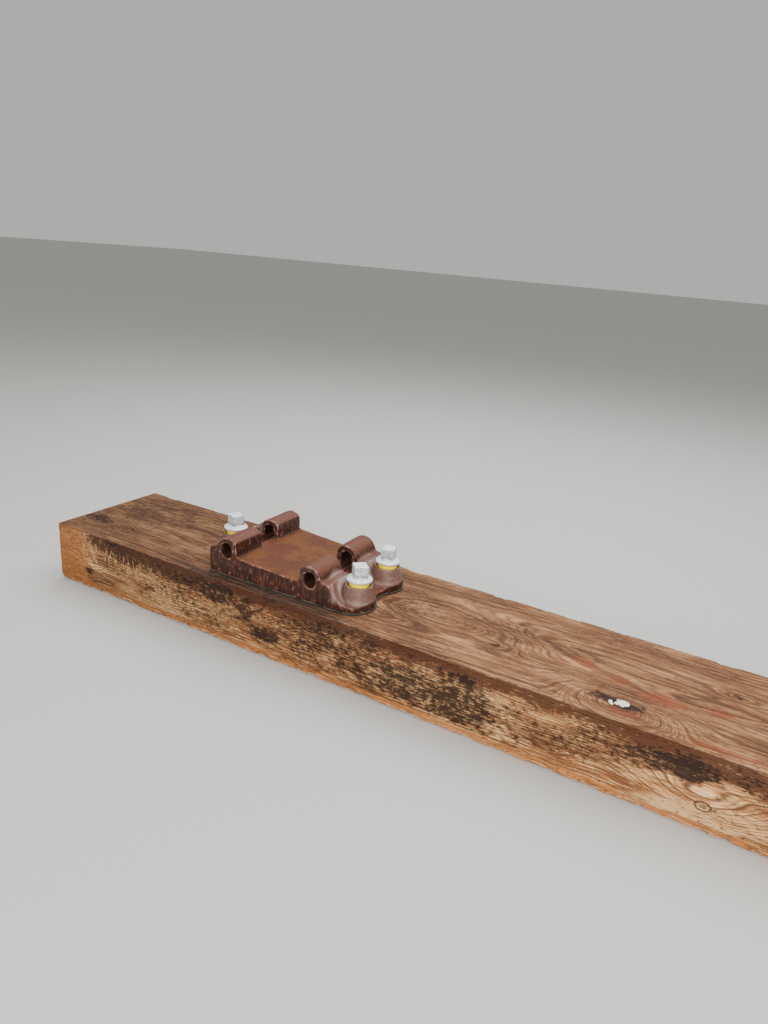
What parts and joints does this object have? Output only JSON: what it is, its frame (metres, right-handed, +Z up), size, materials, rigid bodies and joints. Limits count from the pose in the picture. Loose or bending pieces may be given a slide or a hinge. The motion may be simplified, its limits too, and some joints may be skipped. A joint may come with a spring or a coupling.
{
  "type": "railway sleeper",
  "caption": "Long sawn timber railway sleeper with a rusty cast rail baseplate near each end, screwed down through plastic ferrules.",
  "frame": {"origin": "middle of the timber's underside", "axes": "+X along the timber, towards the right-hand baseplate; +Y to the timber's back face; +Z up, out of the face that carries the baseplates"},
  "size_m": [2.6, 0.28, 0.2115],
  "materials": {
    "timber": "weathered, creosoted softwood, sawn",
    "baseplate": "rusted, as cast",
    "pad": "matt",
    "ferrule": "moulded nylon",
    "screw": "hot-dip galvanised"
  },
  "bodies": {
    "root": {"timber": "timber", "baseplate_left": "baseplate", "pad_left": "pad", "ferrule_outer_left": "ferrule", "screw_outer_left": "screw", "ferrule_inner_front_left": "ferrule", "screw_inner_front_left": "screw", "ferrule_inner_back_left": "ferrule", "screw_inner_back_left": "screw", "baseplate_right": "baseplate", "pad_right": "pad", "ferrule_outer_right": "ferrule", "screw_outer_right": "screw", "ferrule_inner_front_right": "ferrule", "screw_inner_front_right": "screw", "ferrule_inner_back_right": "ferrule", "screw_inner_back_right": "screw"}
  },
  "joints": []
}
